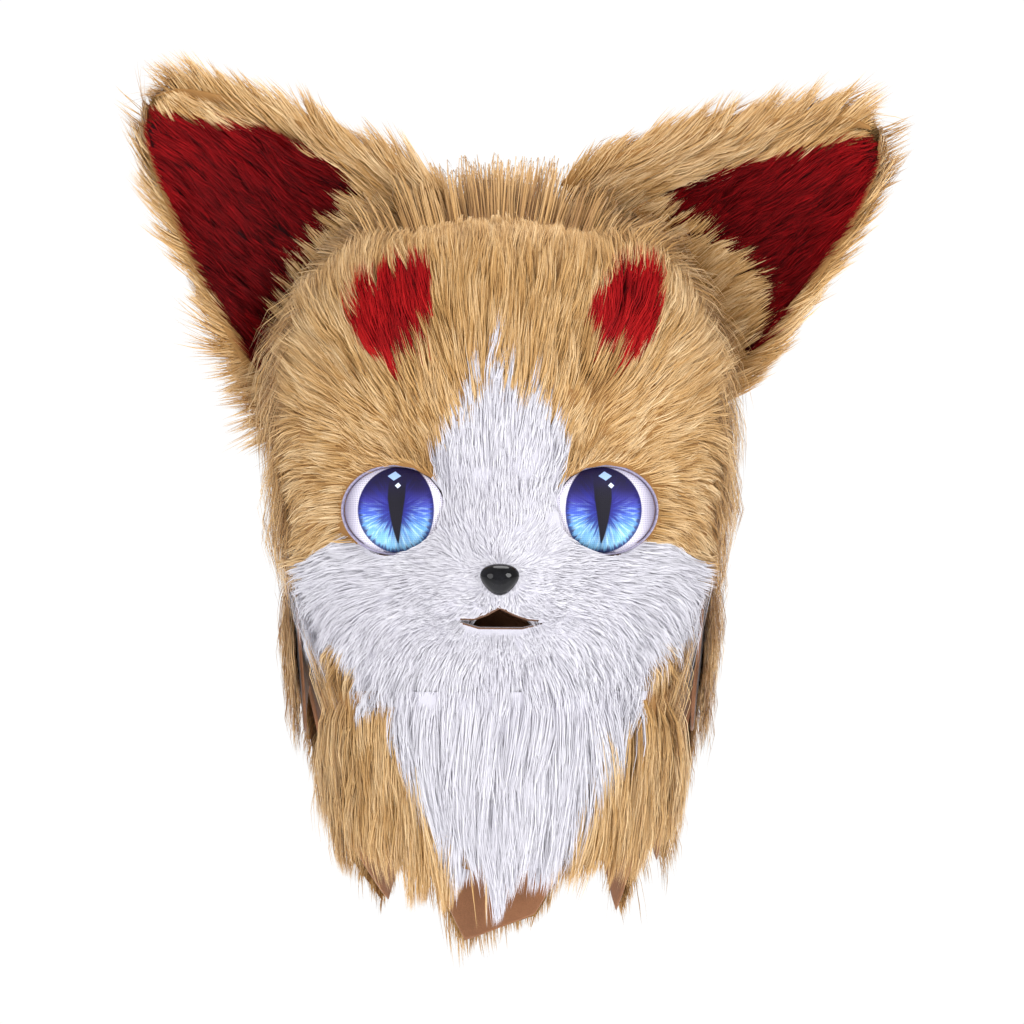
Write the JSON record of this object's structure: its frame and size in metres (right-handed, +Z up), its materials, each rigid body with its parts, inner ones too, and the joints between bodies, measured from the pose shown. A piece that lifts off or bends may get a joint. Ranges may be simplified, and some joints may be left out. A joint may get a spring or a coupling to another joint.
{
  "type": "fursuit head",
  "caption": "Hollow animal head to be worn: long tan, white and red fur on a moulded base, tall cupped ears, domed slit-pupil eyes, a front bib and a pointed drape behind.",
  "frame": {"origin": "top of the hollow, where the wearer's crown sits", "axes": "+Z up, the face looks along -Y, +X to the right of someone facing it"},
  "size_m": [0.4759, 0.3299, 0.547],
  "materials": {
    "tan_fur": "long pile",
    "white_fur": "long pile",
    "red_fur": "long pile",
    "suede_cloth": "brushed",
    "moulded_base": "matte",
    "eye_mesh": "printed mesh",
    "eye_rim": "satin",
    "nose_plastic": "gloss"
  },
  "bodies": {
    "root": {"hood_fur": "tan_fur", "face_fur": "tan_fur", "jowl_fur_left": "tan_fur", "jowl_fur_right": "tan_fur", "ear_shell_left": "tan_fur", "ear_shell_right": "tan_fur", "bib_fur_left": "tan_fur", "bib_fur_right": "tan_fur", "drape_fur": "tan_fur", "blaze_fur": "white_fur", "muzzle_fur": "white_fur", "cheek_fur_left": "white_fur", "cheek_fur_right": "white_fur", "bib_fur_white": "white_fur", "brow_spot_left": "red_fur", "brow_spot_right": "red_fur", "ear_lining_left": "red_fur", "ear_lining_right": "red_fur", "bib_cloth": "suede_cloth", "drape_cloth": "suede_cloth", "mouth_lining": "suede_cloth", "head_base": "moulded_base", "eye_left": "eye_mesh", "eye_right": "eye_mesh", "eye_rim_left": "eye_rim", "eye_rim_right": "eye_rim", "nose": "nose_plastic"}
  },
  "joints": []
}
